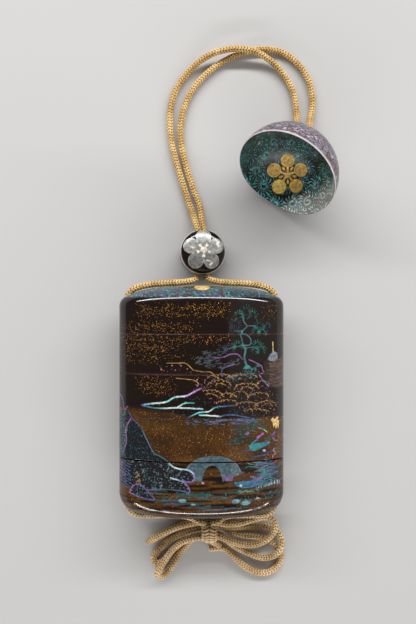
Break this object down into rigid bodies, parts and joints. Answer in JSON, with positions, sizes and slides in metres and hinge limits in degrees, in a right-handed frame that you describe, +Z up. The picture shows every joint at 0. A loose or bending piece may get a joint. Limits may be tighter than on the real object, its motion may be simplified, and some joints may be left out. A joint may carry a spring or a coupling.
{
  "type": "inro case",
  "caption": "Stacked lacquered box with a domed lid on a silk cord, with a round bead, a bowl-shaped toggle and a looped bow.",
  "frame": {"origin": "on the flat of the back, which rests on the board, midway between the lid's shoulder and the lowest case's shoulder, on the centre line", "axes": "+Z up from the board through the front of the case, +Y along the stack from the bow to the lid and the toggle, +X to the right"},
  "size_m": [0.079, 0.2023, 0.0344],
  "materials": {
    "lacquer": "polished dark lacquer over wood, with gold flakes and inlaid shell",
    "bead_lacquer": "polished black lacquer with inlaid grey shell",
    "shell_mosaic": "shell mosaic outside, black lacquer with shell scrolls inside",
    "silk": "braided gold and tan silk"
  },
  "bodies": {
    "root": {"inro_lid": "lacquer", "inro_case_1": "lacquer", "inro_case_2": "lacquer", "inro_case_3": "lacquer", "inro_case_4": "lacquer", "ojime_bead": "bead_lacquer", "netsuke_bowl": "shell_mosaic", "cord_left_lid": "silk", "cord_right_lid": "silk", "cord_left_arc": "silk", "cord_right_arc": "silk", "cord_left_lead": "silk", "cord_right_lead": "silk", "cord_knot": "silk", "cord_bow_left_upper": "silk", "cord_bow_left_middle": "silk", "cord_bow_left_lower": "silk", "cord_bow_right_upper": "silk", "cord_bow_right_middle": "silk", "cord_bow_right_lower": "silk"}
  },
  "joints": []
}
